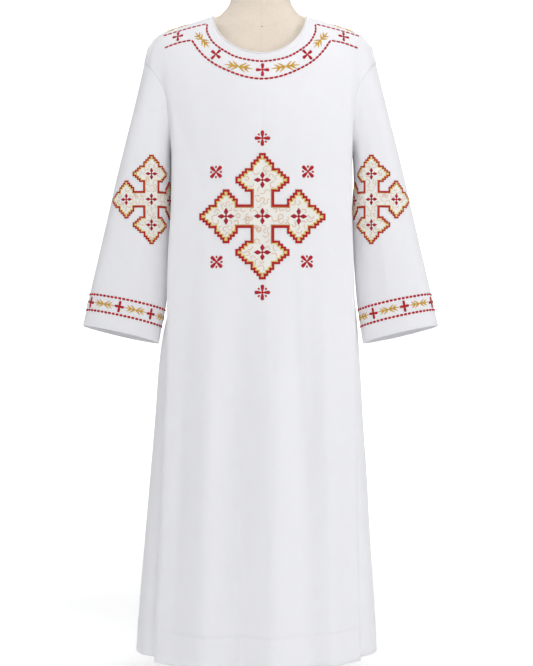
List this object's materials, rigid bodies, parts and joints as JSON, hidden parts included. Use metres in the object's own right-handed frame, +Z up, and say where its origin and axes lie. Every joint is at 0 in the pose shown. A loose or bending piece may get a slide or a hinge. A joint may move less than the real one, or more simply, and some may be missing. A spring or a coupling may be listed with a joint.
{
  "type": "tunic on a dress form",
  "caption": "Ankle-length white tunic with wide sleeves and stepped applique crosses, standing on a limbless dress form with a round steel base.",
  "frame": {"origin": "middle of the base's underside, on the floor", "axes": "+Z up, the front of the tunic towards -Y, the left of the picture at -X"},
  "size_m": [0.761, 0.3802, 1.5373],
  "materials": {
    "cloth": "matt white cotton",
    "thread": "satin-stitched thread",
    "form_cloth": "matt cream linen",
    "form_wood": "satin",
    "steel": "satin"
  },
  "bodies": {
    "root": {"front_panel": "cloth", "back_panel": "cloth", "gore_left": "cloth", "gore_right": "cloth", "sleeve_left": "cloth", "sleeve_right": "cloth", "chest_cross": "thread", "sleeve_cross_left": "thread", "sleeve_cross_right": "thread", "form_torso": "form_cloth", "form_cap": "form_wood", "form_pole": "steel", "form_collar": "steel", "form_base": "steel"}
  },
  "joints": []
}
